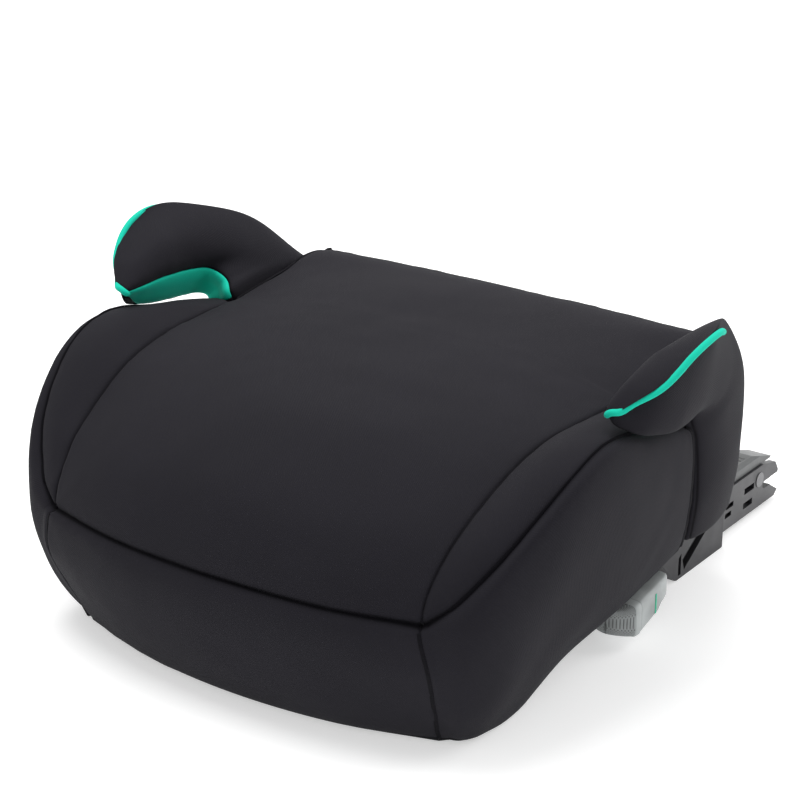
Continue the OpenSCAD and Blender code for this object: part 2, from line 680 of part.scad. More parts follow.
module grip() {
    ramp = [[fork_start, fork_low], [fork_start, 43.6], [fork_start + 14, 43.6 + 14 * lift],
        [164, 43.6 + 14 * lift], [164, fork_low]];
    color(grip_grey) {
        difference() {
            intersection() {
                side_plate(158, 190, grip_side);
                union() {
                    bar_z(nose_x, nose_y, 0, 60, nose_r);
                    linear_extrude(60) polygon([[158, nose_y], [190, nose_y], [190, 68], [184, 77], [158, 77]]);
                }
            }
            nose_ring(nose_r - 1.3, nose_r + 2, 14.95, 28.05, 55.3);
        }
        block([158.5, 29, 25], [165, 51, 44 + 14 * lift]);
        cross_plate(31, 35.5, ramp);
        cross_plate(44.5, 49, ramp);
    }
}

module grip_pad() {
    color([0.5, 0.52, 0.52]) nose_ring(nose_r - 1.2, nose_r, 15, 28, 55);
}

module lock_pin() {
    color(steel) {
        bar_z(anchor_x, lock_y, rail_top + 0.2, head_low + 0.1, pin_r);
        bar_z(anchor_x, lock_y, head_low, head_low + 3, 9);
    }
}

module lock_spring() {
    color(steel) translate([anchor_x, lock_y, head_low + 3.1]) coil(6, 1.2, 15.6, 5);
}

seat_cover();
foam_pad();
seat_shell();
hem_binding();
arm_core();  // arm_core_right
left() arm_core();  // arm_core_left
arm_sleeve();  // arm_sleeve_right
left() arm_sleeve();  // arm_sleeve_left
arm_lining();  // arm_lining_right
left() arm_lining();  // arm_lining_left
arm_piping();  // arm_piping_right
left() arm_piping();  // arm_piping_left
base_tray();
rubber_feet();
shell_screws();
stop_pins();
slide_frame();
rail_pins();
latch_springs();
rail_bracket();  // rail_bracket_right
left() rail_bracket();  // rail_bracket_left
rail_guide();  // rail_guide_right
left() rail_guide();  // rail_guide_left
connector();  // connector_right
left() connector();  // connector_left
latch_hook();  // latch_hook_right
left() latch_hook();  // latch_hook_left
hook_rivet();  // hook_rivet_right
left() hook_rivet();  // hook_rivet_left
release_slider();  // release_slider_right
left() release_slider();  // release_slider_left
grip();  // grip_right
left() grip();  // grip_left
grip_pad();  // grip_pad_right
left() grip_pad();  // grip_pad_left
lock_pin();  // lock_pin_right
left() lock_pin();  // lock_pin_left
lock_spring();  // lock_spring_right
left() lock_spring();  // lock_spring_left
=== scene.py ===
import json
import math

import bmesh
import bpy
import numpy as np
from mathutils import Matrix, Vector, noise
from mathutils.kdtree import KDTree


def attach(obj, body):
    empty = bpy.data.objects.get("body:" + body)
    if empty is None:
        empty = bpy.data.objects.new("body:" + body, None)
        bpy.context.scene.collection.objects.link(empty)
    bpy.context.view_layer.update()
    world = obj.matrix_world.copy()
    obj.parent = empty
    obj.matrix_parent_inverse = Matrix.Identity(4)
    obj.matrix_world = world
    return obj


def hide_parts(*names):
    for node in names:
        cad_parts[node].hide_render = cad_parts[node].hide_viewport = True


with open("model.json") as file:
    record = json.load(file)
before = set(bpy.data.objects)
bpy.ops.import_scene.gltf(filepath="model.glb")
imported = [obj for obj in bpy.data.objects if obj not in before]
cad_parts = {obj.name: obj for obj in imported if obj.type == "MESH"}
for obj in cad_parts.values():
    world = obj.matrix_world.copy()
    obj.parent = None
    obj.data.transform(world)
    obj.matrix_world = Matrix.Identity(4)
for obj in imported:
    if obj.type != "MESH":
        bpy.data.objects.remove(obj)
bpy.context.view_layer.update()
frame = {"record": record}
MM = 0.001
CLOTH = 2.2                       # thickness of the cover cloth, mm
CORD = 2.35                       # radius of the piping cord, mm
CORD_PROUD = 1.9                  # how far the cord's middle stands off the sleeve, mm
LINING_T = 1.7                    # depth of the lining behind the sleeve's under face, mm
CORE_INSET = 14                   # gap between the arm's foam core and its sleeve, mm
GRIP_X, GRIP_Y = 172, 33          # centre of the round nose of the right grip, mm
GRIP_R, GRIP_IN = 18, 14          # nose radius, and reach inwards from its centre, mm
GRIP_GIRTH = 92.0                 # length round a grip's section, mm
GRIP_SQUARE = 0.26                # exponent that squares off a grip's section
DIMPLE = 2.3                      # spacing of the dimples on a grip's nose, mm
MIDDLE = 60                       # column or ring whose length sets the UVs

# ---------------------------------------------------------------- control nets, in millimetres
#
# Not worked out from dimensions, and not read from the frame. ARM was rounded from the output of
# a fitting program, with some points moved. TOP and WALL were typed, partly from seam
# positions that such a program solved. They repeat the nets of the part, except that two points
# of ARM, the crest and the top in its sixth row, are lower here.

# right half of the top, front to back: middle line, quarter line, centre seam, wing, outer seam
TOP = np.array([
    [[0, -207, 98], [86, -201.5, 98], [154, -185, 98], [156, -184, 98.5], [158, -183, 99]],
    [[0, -199.5, 121], [86, -193.5, 120], [154.5, -176, 118], [165, -174.5, 115.5], [175, -172.5, 115]],
    [[0, -176, 151], [87, -169, 148.5], [157.5, -152, 144], [178, -150, 146], [195, -147, 146]],
    [[0, -120, 180], [88, -115, 177], [161.5, -105, 169.5], [187, -104, 179], [209.5, -103, 181]],
    [[0, -60, 191], [90, -60, 188.5], [164.5, -60, 181.5], [189, -60, 191.5], [212, -60, 193.5]],
    [[0, -8, 196], [91, -8, 193.5], [168.5, -8, 183], [189, -6, 188], [208.5, -4, 181.5]],
    [[0, 26, 197.5], [92, 26, 195], [171, 26, 182.5], [190, 40, 178], [207.5, 53, 165]],
    [[0, 40, 198], [92, 40, 195.5], [171, 38, 182.5], [172, 38.4, 182], [173, 38.8, 181.5]],
    [[0, 92, 199], [92, 92, 196.5], [171, 90, 187], [172, 90, 186.7], [173, 90, 186.4]],
    [[0, 132, 197], [92, 131, 195], [171.5, 128, 194], [172.2, 128, 193.5], [173, 128, 193]],
    [[0, 158, 192.5], [92, 157, 192], [170, 153, 192], [170.7, 153, 191.7], [171.5, 153, 191.4]],
])

# walls below the edge of the top, hem first: front middle, quarter, three corner points,
# nine points down the side, three points of the back corner, back quarter, back middle
WALL = np.array([
    [[0, -186, 3.5], [80, -179, 3.5], [152, -158.5, 3.5], [154, -156, 3.5], [156, -153.5, 3.5],
     [164, -149.5, 3.5], [170, -135, 3.5], [173, -98, 4.5], [178, -48, 24], [186, 5, 38], [191, 89, 56],
     [173, 97, 57], [173, 120, 59], [173, 150, 62],
     [171, 178, 64], [170.5, 179, 64], [170, 180, 64], [92, 182, 64], [0, 183, 64]],
    [[0, -200, 32], [82, -193, 32], [156.5, -171, 32], [159, -169.5, 32], [162.5, -168, 32],
     [175.5, -162, 34], [188, -140, 42], [193, -99, 55], [201, -51, 75], [204, 2, 84],
     [201, 77, 88], [173, 84, 90], [173, 118, 93], [173, 150, 96],
     [171, 181, 98], [170.5, 182, 98], [170, 183, 98], [92, 185, 98], [0, 186, 98]],
    [[0, -208.5, 62], [84, -202.5, 62], [161, -184.5, 64], [163.5, -183, 64], [166, -181, 65],
     [183, -171.5, 72], [200, -146, 95], [213, -103, 124], [217.5, -56, 138], [215, -3, 133],
     [207, 69, 121], [173, 73, 122], [173, 116, 126], [173, 150, 130],
     [171, 180, 134], [170.5, 181.5, 134], [170, 182.5, 134], [92, 184.5, 134], [0, 185.5, 134]],
    [[0, -211, 86], [86, -205.5, 86], [156.7, -188, 90], [159.5, -186.5, 90], [162.5, -184.5, 91],
     [183, -174, 103], [202, -149, 136], [216.5, -105, 169], [219.5, -60, 182], [216, -4, 171],
     [210, 60, 155], [173, 58, 157], [173, 112, 163], [173, 146, 169],
     [171.2, 172, 173], [170.7, 173.5, 173], [170.2, 175, 173], [92, 177, 173], [0, 178, 173]],
], float)
FOOT_ROW = 6                      # the outer seam breaks direction between this row and the next

# right arm from the foot of its column up and forward to its tip: inner edge, under middle,
# outer edge, outer side, crest, top, inner side, inner foot
ARM = np.array([
    [[174.5, 99, 57], [183.5, 96, 58], [193, 94, 59.5], [196.5, 121, 61],
     [190.5, 156.5, 64], [179.5, 170, 65], [173, 179.5, 65], [174, 139.5, 61]],
    [[174.5, 86, 100], [189.5, 82, 100.5], [205, 78.5, 101.5], [209.5, 108.5, 103],
     [202.5, 143.5, 108], [189, 166, 105], [174.5, 181, 106], [174.5, 134.5, 103.5]],
    [[174.5, 63, 146], [192.5, 64.5, 148], [210, 64.5, 148], [215.5, 91.5, 150.5],
     [206.5, 138, 159.5], [191.5, 162, 154], [176, 175.5, 155.5], [175, 119.5, 153.5]],
    [[174.5, 41.5, 183], [192.5, 51, 173.5], [210, 56, 166], [219, 87, 175.5],
     [209, 123.5, 196], [194, 143.5, 184], [176.5, 148, 181], [175, 95, 186.5]],
    [[184, 47, 193], [198.5, 52, 182.5], [212, 54, 172.5], [225, 83, 187],
     [211, 98.5, 223.5], [200.5, 112.5, 219.5], [181, 113, 198], [179.5, 86, 197.5]],
    [[197, 44.5, 199], [204.5, 44.5, 188], [214, 43, 176], [228.5, 56, 192],
     [226.5, 58.5, 237], [217, 75.5, 237.2], [199, 76, 225.5], [188.5, 66, 210.5]],
    [[200, 24, 203], [206, 24, 191], [216, 23.5, 177.5], [230, 24, 188],
     [237.2, 32, 242.5], [231, 38, 244], [205, 30.5, 232.5], [198, 27, 215]],
    [[199.5, -2, 205.5], [206.5, -2, 193.5], [217, -2, 180], [229, -2.5, 189.5],
     [237, 1, 236], [233.5, -1, 236.5], [208.5, -1, 230.5], [198.5, -0.5, 217]],
    [[199, -28, 205.5], [206.5, -28.5, 197.5], [217, -27, 186], [225, -25, 197.5],
     [229.5, -22.5, 221], [227, -29, 222.5], [209, -27.5, 223], [200, -27.5, 215]],
    [[200.5, -42.5, 204.5], [205, -43, 199], [209.5, -41, 194], [214.5, -39, 201.5],
     [215.5, -38, 211.5], [214.5, -44.5, 210.5], [206.5, -43.5, 211], [201, -43.5, 208.5]],
    [[203.5, -46.5, 202.5], [205, -46.8, 201], [206, -46, 199.5], [208, -45.5, 202.5],
     [209, -46, 205.5], [208, -47, 206], [206, -47.2, 206], [204.5, -47, 204.8]],
], float)

# ---------------------------------------------------------------- curves

def spline(p, t):
    """Catmull-Rom curve through the rows of p at the parameters t."""
    p = np.asarray(p, float)
    t = np.asarray(t, float)
    e = np.concatenate([2 * p[:1] - p[1:2], p, 2 * p[-1:] - p[-2:-1]])
    i = np.clip(np.floor(t).astype(int), 0, len(p) - 2)
    s = (t - i).reshape((-1,) + (1,) * (p.ndim - 1))
    a, b, c, d = e[i], e[i + 1], e[i + 2], e[i + 3]
    return 0.5 * (2 * b + (c - a) * s + (2 * a - 5 * b + 4 * c - d) * s ** 2
                  + (3 * b - a - 3 * c + d) * s ** 3)


def broken(p, t):
    """The same curve with a corner at the foot of the arm."""
    t = np.asarray(t, float)
    out = np.empty((len(t),) + p.shape[1:])
    for a, b in ((0, FOOT_ROW), (FOOT_ROW, FOOT_ROW + 1), (FOOT_ROW + 1, len(p) - 1)):
        k = (t >= a) & (t <= b)
        out[k] = spline(p[a:b + 1], t[k] - a)
    return out


def ring_curve(p, t):
    """Closed Catmull-Rom curve through the rows of p."""
    n = len(p)
    t = np.asarray(t, float) % n
    i = np.floor(t).astype(int)
    s = (t - i).reshape((-1,) + (1,) * (p.ndim - 1))
    a, b, c, d = p[(i - 1) % n], p[i % n], p[(i + 1) % n], p[(i + 2) % n]
    return 0.5 * (2 * b + (c - a) * s + (2 * a - 5 * b + 4 * c - d) * s ** 2
                  + (3 * b - a - 3 * c + d) * s ** 3)


def across(h, u):
    """Full-width row from its right half h (5 x ... x 3); u runs from -4 to 4."""
    out = np.empty((len(u),) + h.shape[1:])
    k = np.abs(u) <= 2
    m = h * [-1, 1, 1]
    out[k] = spline(np.stack([m[2], m[1], h[0], h[1], h[2]]), u[k] + 2)
    w = spline(h[2:5], np.abs(u[~k]) - 2)
    w[u[~k] < 0] *= [-1, 1, 1]
    out[~k] = w
    return out


def clustered(breaks, counts, k=0.85):
    """Parameters that crowd towards each break."""
    out = [np.array([breaks[0]], float)]
    for a, b, n in zip(breaks[:-1], breaks[1:], counts):
        s = np.arange(1, n + 1) / n
        out.append(a + (b - a) * (s - k * np.sin(2 * np.pi * s) / (2 * np.pi)))
    return np.concatenate(out)


def top_points(u, v):
    """Points of the top, rows along v and columns along u."""
    cols = np.stack([spline(TOP[:, c], v) if c < 3 else broken(TOP[:, c], v) for c in range(5)])
    return across(cols, np.asarray(u, float)).transpose(1, 0, 2)


def round_edge(grid):
    """The edge of a grid, counter-clockwise from its front left corner."""
    return np.concatenate([grid[0], grid[1:-1, -1], grid[-1, ::-1], grid[-2:0:-1, 0]])


def wall_points(u, v, w):
    """Wall rings from the hem (w = 0) to the edge of the top (w = 4)."""
    rings = []
    for row in WALL:
        front, back = across(row[:5], u), across(row[[18, 17, 16, 15, 14]], u)
        side = broken(row[4:15], v)[1:-1]
        rings.append(np.concatenate([front, side, back[::-1], side[::-1] * [-1, 1, 1]]))
    rings.append(round_edge(top_points(u, v)))
    return spline(np.stack(rings), w)


def drawn_in(p, d, h):
    """Seat points moved in by d, and down by h at the top."""
    out = p * [1 - d / 213, 1 - d / 200, 1]
    out[..., 1] -= 10 * d / 200
    out[..., 2] -= h * np.maximum(0, p[..., 2] - 85) / 113
    return out


def arm_points(t, v):
    """Points of the right arm, rows along v and ring positions along t."""
    rows = spline(ARM, v)
    return ring_curve(rows.transpose(1, 0, 2), t).transpose(1, 0, 2)


def arc(p):
    """Length along a polyline at each of its points."""
    return np.concatenate([[0], np.cumsum(np.linalg.norm(np.diff(p, axis=0), axis=1))])


# ---------------------------------------------------------------- meshes

def cells(rows, cols, start=0, ring=False, turn=False):
    """Quads over a grid of points."""
    r, c = np.meshgrid(np.arange(rows - 1), np.arange(cols if ring else cols - 1), indexing="ij")
    r, c = r.ravel(), c.ravel()
    e = (c + 1) % cols
    q = np.stack([r * cols + c, r * cols + e, (r + 1) * cols + e, (r + 1) * cols + c], 1) + start
    return (q[:, ::-1] if turn else q).tolist()


def make(name, points, faces, uv, material, weld=0.0):
    """Mesh object from points in millimetres and one UV, in metres, per point."""
    mesh = bpy.data.meshes.new(name)
    mesh.from_pydata((np.asarray(points) * MM).tolist(), [], faces)
    layer = mesh.uv_layers.new(name="UVMap")
    index = np.empty(len(mesh.loops), int)
    mesh.loops.foreach_get("vertex_index", index)
    layer.data.foreach_set("uv", (np.asarray(uv, float)[index] * MM).ravel())
    obj = bpy.data.objects.new(name, mesh)
    bpy.context.collection.objects.link(obj)
    bm = bmesh.new()
    bm.from_mesh(mesh)
    if weld:
        bmesh.ops.remove_doubles(bm, verts=bm.verts, dist=weld * MM)
        bmesh.ops.dissolve_degenerate(bm, edges=bm.edges, dist=weld * MM)
    bmesh.ops.recalc_face_normals(bm, faces=bm.faces)
    bm.to_mesh(mesh)
    bm.free()
    mesh.shade_smooth()
    mesh.materials.append(material)
    return obj


def coords(obj):
    """Vertex positions in millimetres."""
    co = np.empty(len(obj.data.vertices) * 3)
    obj.data.vertices.foreach_get("co", co)
    return co.reshape(-1, 3) / MM


def normals(obj):
    """Unit normal at each vertex."""
    no = np.empty(len(obj.data.vertices) * 3)
    obj.data.vertices.foreach_get("normal", no)
    return no.reshape(-1, 3)


def set_painted_shade(obj, value):
    """Share of painted shade at each vertex, in seams and dimples, read by the cloth and plastic materials.
    """
    layer = obj.data.attributes.new("crease", "FLOAT", "POINT")
    layer.data.foreach_set("value", np.asarray(value, np.float32))


def set_coords(obj, p):
    obj.data.vertices.foreach_set("co", (p * MM).ravel())
    obj.data.update()


def distance(p, *lines):
    """Distance from each point to the nearest of the polylines."""
    pts = np.concatenate([np.stack([np.interp(np.arange(0, arc(q)[-1], 0.7), arc(q), q[:, k])
                                    for k in range(3)], 1) for q in lines])
    tree = KDTree(len(pts))
    for i, q in enumerate(pts):
        tree.insert(q, i)
    tree.balance()
    return np.array([tree.find(q)[2] for q in p])


def waves(p, size, seed=0.0):
    """Smooth noise of about the given size, between -1 and 1."""
    return np.array([noise.noise(Vector(q) / size + Vector((seed, 3 * seed, 7.1))) for q in p])


def mirrored(obj, name):
    """The left twin of a right piece."""
    twin = obj.copy()
    twin.data = obj.data.copy()
    twin.name = twin.data.name = name
    bpy.context.collection.objects.link(twin)
    twin.data.transform(Matrix.Diagonal((-1, 1, 1, 1)))
    twin.data.flip_normals()
    return twin


def tube(name, path, radius, material, sides=16, closed=False):
    """Round cord along a path, its radius given per point or once."""
    path = np.asarray(path, float)
    n = len(path)
    radius = np.broadcast_to(np.asarray(radius, float), (n,))
    along = np.roll(path, -1, 0) - np.roll(path, 1, 0) if closed else np.gradient(path, axis=0)
    along /= np.linalg.norm(along, axis=1)[:, None]
    side = np.cross(along[0], [0, 0, 1])
    rings = []
    a = np.arange(sides) * 2 * np.pi / sides
    for q, t, r in zip(path, along, radius):
        side = side - t * (side @ t)
        side /= np.linalg.norm(side)
        up = np.cross(side, t)
        rings.append(q + r * (np.outer(np.cos(a), side) + np.outer(np.sin(a), up)))
    if closed:
        rings.append(rings[0])
    pts = np.concatenate(rings)
    length = arc(np.concatenate([path, path[:1]]) if closed else path)
    uv = np.stack([np.repeat(length, sides), np.tile(a * radius.mean(), len(rings))], 1)
    faces = cells(len(rings), sides, ring=True)
    if not closed:
        faces += [list(range(sides))[::-1], list(range(len(pts) - sides, len(pts)))]
    return make(name, pts, faces, uv, material, weld=0.01 if closed else 0.0)


def slab(name, outer, inner, material):
    """Closed solid between two grids of the same size."""
    rows, cols = outer.shape[:2]
    n = rows * cols
    edge = round_edge(np.arange(n).reshape(rows, cols)[..., None])[:, 0]
    after = np.roll(edge, -1)
    faces = cells(rows, cols) + cells(rows, cols, n, turn=True)
    faces += np.stack([edge, edge + n, after + n, after], 1).tolist()
    uu = arc(outer[rows // 2])
    vv = arc(outer[:, cols // 2])
    uv = np.stack(np.meshgrid(uu, vv), -1).reshape(-1, 2)
    return make(name, np.concatenate([outer.reshape(-1, 3), inner.reshape(-1, 3)]), faces,
                np.concatenate([uv, uv]), material)


def grid_normals(g):
    """Unit normals of a grid of points."""
    n = np.cross(np.gradient(g, axis=1), np.gradient(g, axis=0))
    return n / np.maximum(np.linalg.norm(n, axis=2, keepdims=True), 1e-9)


# ---------------------------------------------------------------- materials

def new_material(name, colour, rough, metal=0.0, sheen=0.0):
    m = bpy.data.materials.new(name)
    m.use_nodes = True
    m.diffuse_color = (*colour, 1)
    b = m.node_tree.nodes["Principled BSDF"]
    b.inputs["Base Color"].default_value = (*colour, 1)
    b.inputs["Roughness"].default_value = rough
    b.inputs["Metallic"].default_value = metal
    b.inputs["Sheen Weight"].default_value = sheen
    return m


def node(m, kind, **values):
    n = m.node_tree.nodes.new(kind)
    for key, value in values.items():
        if key in n.inputs:
            n.inputs[key].default_value = value
        else:
            setattr(n, key, value)
    return n


def link(m, a, b):
    m.node_tree.links.new(a, b)


def maths(m, op, a, b=None):
    n = node(m, "ShaderNodeMath", operation=op)
    for k, x in enumerate((a, b)):
        if x is None:
            continue
        if isinstance(x, (int, float)):
            n.inputs[k].default_value = x
        else:
            link(m, x, n.inputs[k])
    return n.outputs[0]


def noise_node(m, where, scale, detail=3.0):
    n = node(m, "ShaderNodeTexNoise")
    n.inputs["Scale"].default_value = scale
    n.inputs["Detail"].default_value = detail
    link(m, where, n.inputs["Vector"])
    return n.outputs["Fac"]


def tinted(m, colour, fac, low, high):
    """Base colour that runs from low to high times the colour, by fac."""
    ramp = node(m, "ShaderNodeValToRGB")
    ramp.color_ramp.elements[0].position = 0.3
    ramp.color_ramp.elements[1].position = 0.7
    ramp.color_ramp.elements[0].color = (*[c * low for c in colour], 1)
    ramp.color_ramp.elements[1].color = (*[min(c * high, 1) for c in colour], 1)
    # Below 0.24 the colour falls to 0.35 times at fac 0: the painted shade taken off fac by the cloth and
    # plastic materials reaches this dark end.
    deep = ramp.color_ramp.elements.new(0.0)
    deep.color = (*[c * 0.35 for c in colour], 1)
    knee = ramp.color_ramp.elements.new(0.24)
    knee.color = (*[c * low for c in colour], 1)
    link(m, fac, ramp.inputs[0])
    link(m, ramp.outputs[0], m.node_tree.nodes["Principled BSDF"].inputs["Base Color"])


def bump(m, height, strength, distance_m):
    b = node(m, "ShaderNodeBump")
    b.inputs["Strength"].default_value = strength
    b.inputs["Distance"].default_value = distance_m
    link(m, height, b.inputs["Height"])
    link(m, b.outputs[0], m.node_tree.nodes["Principled BSDF"].inputs["Normal"])


def cloth_material(name, colour, period, depth, sheen, low=0.86, high=1.14):
    """Fine woven cloth: over and under threads from the UVs, uneven yarn and dye, and painted shade along the
    seams.
    """
    m = new_material(name, colour, 0.86, sheen=sheen)
    uv = node(m, "ShaderNodeTexCoord").outputs["UV"]
    place = node(m, "ShaderNodeTexCoord").outputs["Object"]
    split = node(m, "ShaderNodeSeparateXYZ")
    link(m, uv, split.inputs[0])
    k = 2 * math.pi / period
    u, v = (maths(m, "SINE", maths(m, "MULTIPLY", split.outputs[i], k)) for i in (0, 1))
    weave = maths(m, "MULTIPLY", u, v)
    yarn = noise_node(m, place, 900.0, 2.0)
    height = maths(m, "ADD", maths(m, "MULTIPLY", weave, 0.5), yarn)
    bump(m, height, 0.75, depth)
    mix = maths(m, "ADD", maths(m, "MULTIPLY", noise_node(m, place, 14.0, 4.0), 0.45),
                maths(m, "MULTIPLY", maths(m, "ADD", weave, 1.0), 0.16))
    tone = maths(m, "ADD", mix, maths(m, "MULTIPLY", yarn, 0.25))
    # Painted shade along the seams, from the mesh attribute: it darkens the colour and turns the specular
    # down.
    crease = node(m, "ShaderNodeAttribute", attribute_name="crease").outputs["Fac"]
    tinted(m, colour, maths(m, "SUBTRACT", tone, crease), low, high)
    b = m.node_tree.nodes["Principled BSDF"]
    link(m, maths(m, "MULTIPLY", maths(m, "SUBTRACT", 1.0, crease), 0.18), b.inputs["Specular IOR Level"])
    b.inputs["Sheen Tint"].default_value = (*[min(1, c * 2 + 0.25) for c in colour], 1)
    return m


def plastic_material(name, colour, rough, grain=2200.0, depth=4e-5, wear=0.12):
    """Moulded plastic with a fine grain, edges and patches rubbed a little paler, and concave corners and
    marked hollows darkened as painted shade.
    """
    m = new_material(name, colour, rough)
    place = node(m, "ShaderNodeTexCoord").outputs["Object"]
    bump(m, noise_node(m, place, grain, 2.0), 0.5, depth)
    # Pointiness paints convex edges paler as wear and concave corners darker as painted shade.
    edge = node(m, "ShaderNodeNewGeometry").outputs["Pointiness"]
    edge_wear_and_corner_shade = maths(m, "MULTIPLY", maths(m, "SUBTRACT", edge, 0.5), wear * 40)
    patch = noise_node(m, place, 60.0, 5.0)
    # Painted shade from the mesh attribute, set in the dimples of the grip pads, taken off the colour.
    crease = node(m, "ShaderNodeAttribute", attribute_name="crease").outputs["Fac"]
    tinted(m, colour, maths(m, "SUBTRACT", maths(m, "ADD", patch, edge_wear_and_corner_shade), crease), 0.88, 1.22)
    rough_mix = maths(m, "ADD", maths(m, "MULTIPLY", noise_node(m, place, 90.0, 4.0), 0.18), rough - 0.09)
    link(m, rough_mix, m.node_tree.nodes["Principled BSDF"].inputs["Roughness"])
    return m


def metal_material(name, colour, rough):
    """Brushed steel, drawn along Y, with faint scuffs."""
    m = new_material(name, colour, rough, metal=1.0)
    place = node(m, "ShaderNodeTexCoord").outputs["Object"]
    stretch = node(m, "ShaderNodeMapping")
    stretch.inputs["Scale"].default_value = (900, 30, 900)
    link(m, place, stretch.inputs["Vector"])
    brush = noise_node(m, stretch.outputs[0], 1.0, 3.0)
    bump(m, brush, 0.3, 3e-5)
    tinted(m, colour, noise_node(m, place, 45.0, 5.0), 0.85, 1.1)
    scuff = maths(m, "ADD", maths(m, "MULTIPLY", brush, 0.2), rough - 0.08)
    link(m, scuff, m.node_tree.nodes["Principled BSDF"].inputs["Roughness"])
    return m


CHARCOAL = (0.0092, 0.0084, 0.0122)
TEAL = (0.006, 0.50, 0.35)
charcoal = cloth_material("charcoal_cloth", CHARCOAL, 0.0015, 1.6e-4, 0.05)
binding = cloth_material("binding_tape", (0.008, 0.008, 0.010), 0.0012, 1.2e-4, 0.02)
teal = cloth_material("turquoise_cloth", TEAL, 0.0009, 6e-5, 0.04, 0.93, 1.06)
foam = cloth_material("foam", (0.78, 0.78, 0.73), 0.0022, 2.5e-4, 0.0)
dark = plastic_material("dark_plastic", (0.0125, 0.0120, 0.0150), 0.5)
paint = plastic_material("connector_paint", (0.0170, 0.0165, 0.0195), 0.38, wear=0.25)
slider = plastic_material("slider_plastic", (0.060, 0.063, 0.064), 0.38)
grip_paint = plastic_material("grip_plastic", (0.33, 0.35, 0.35), 0.42)
pad_paint = plastic_material("pad_plastic", (0.23, 0.245, 0.245), 0.55)
green = plastic_material("mark_green", (0.02, 0.42, 0.24), 0.45)
steel = metal_material("steel", (0.42, 0.42, 0.43), 0.38)
rivet = metal_material("rivet", (0.20, 0.20, 0.205), 0.45)
rubber = plastic_material("rubber", (0.018, 0.018, 0.018), 0.8, grain=1200.0, depth=8e-5)

# ---------------------------------------------------------------- seat cover

u = clustered([-4, -2, 2, 4], [16, 92, 16])
v = clustered([0, 6, 7, 10], [78, 8, 26])
w = clustered([0, 4], [40])
u[np.abs(u) > 3.999] = np.sign(u[np.abs(u) > 3.999]) * 4
grid = top_points(u, v)
walls = wall_points(u, v, w)
ring = walls.shape[1]
top_uv = np.stack(np.meshgrid(arc(top_points(u, [4.0])[0]), arc(top_points([0.0], v)[:, 0])), -1)
wall_uv = np.stack(np.meshgrid(arc(walls[len(w) // 2]), arc(walls[:, MIDDLE])), -1)
cover = make("seat_cover_cloth", np.concatenate([grid.reshape(-1, 3), walls.reshape(-1, 3)]),
             cells(len(v), len(u)) + cells(len(w), ring, grid.shape[0] * grid.shape[1], ring=True),
             np.concatenate([top_uv.reshape(-1, 2), wall_uv.reshape(-1, 2)]), charcoal, weld=0.02)
fine_u, fine_v, fine_w = np.linspace(-4, 4, 401), np.linspace(0, 10, 301), np.linspace(0, 4, 120)
edge_line, rear_line = [top_points(fine_u, [0.0])[0]], [top_points(fine_u, [10.0])[0]]
foot_line, thin_line = [], []
for s in (-1, 1):
    side = top_points([4.0 * s], fine_v)[:, 0]
    edge_line.append(side[fine_v <= 7])
    foot_line.append(side[fine_v >= 6.9])
    thin_line.append(top_points([2.0 * s], fine_v)[:, 0])
few_v = np.array([0.0, FOOT_ROW, FOOT_ROW + 1, 10.0])
columns = wall_points(np.array([-4.0, -2.0, 0.0, 2.0, 4.0]), few_v, fine_w)
upright = [columns[:, 1], columns[:, 3]]
arm_seam = [columns[:, 5], columns[:, 12]]
back_seam = [columns[:, 7], columns[:, 11]]
hem_line = wall_points(u, v, [0.0])[0]


def seam(d, depth, reach):
    """Valley along a seam, at the distances d from it."""
    return -depth * np.exp(-d / reach)


p, n = coords(cover), normals(cover)
far = [distance(p, *lines) for lines in (edge_line, thin_line, upright, arm_seam, foot_line, back_seam,
                                         rear_line)]
nearest = np.min(far, axis=0)
thin = np.min(far[1:6], axis=0)
calm = 1 - 0.6 * np.clip((p[:, 1] + 90) / 70, 0, 1) * (np.abs(p[:, 0]) > 175)
move = (seam(far[0], 4.0, 2.8) * calm + seam(far[1], 2.1, 1.8) + seam(far[2], 1.6, 1.4)
        + seam(far[3], 2.6, 2.4) + seam(far[4], 2.4, 3.0) + seam(far[5], 1.2, 1.6) + seam(far[6], 1.2, 3.5))
# Painted shade along the seams: strongest along the edge of the top, weaker along the thinner seams.
set_painted_shade(cover, np.maximum(0.75 * np.exp(-(far[0] / 1.7) ** 2), 0.5 * np.exp(-(thin / 1.1) ** 2)))
move += 1.5 * (1 - np.exp(-(nearest / 17) ** 2))
move += seam(distance(p, np.concatenate([hem_line, hem_line[:1]])), 1.6, 5.0)
move += 0.75 * waves(p, 46) + 0.35 * waves(p, 19, 2.0)
move += 0.55 * waves(p * [1, 1, 0.6], 7.5, 5.0) * np.exp(-nearest / 7)
set_coords(cover, p + n * move[:, None])
skin = cover.modifiers.new("thickness", "SOLIDIFY")
skin.thickness = CLOTH * MM
skin.offset = -1
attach(cover, "base")
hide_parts("seat_cover")

hem = drawn_in(wall_points(np.linspace(-4, 4, 90), np.linspace(0, 10, 90), [0.0])[0], 3.2, 0) - [0, 0, 0.2]
keep = np.concatenate([[True], np.linalg.norm(np.diff(hem, axis=0), axis=1) > 0.8])
hem = hem[keep]
tape = tube("hem_binding_tape", hem, 1.7, binding, 12, closed=True)
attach(tape, "base")
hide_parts("hem_binding")

pad_u, pad_v = np.linspace(-3.9, 3.9, 72), np.linspace(0.15, 9.8, 60)
pad_grid = top_points(pad_u, pad_v)
pad_foam = slab("foam_pad_block", drawn_in(pad_grid, 7, 7), drawn_in(pad_grid, 7, 30), foam)
round_pad = pad_foam.modifiers.new("soft edge", "BEVEL")
round_pad.width, round_pad.segments, round_pad.angle_limit = 2.5 * MM, 3, 0.9
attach(pad_foam, "base")
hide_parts("foam_pad")

# ---------------------------------------------------------------- arms

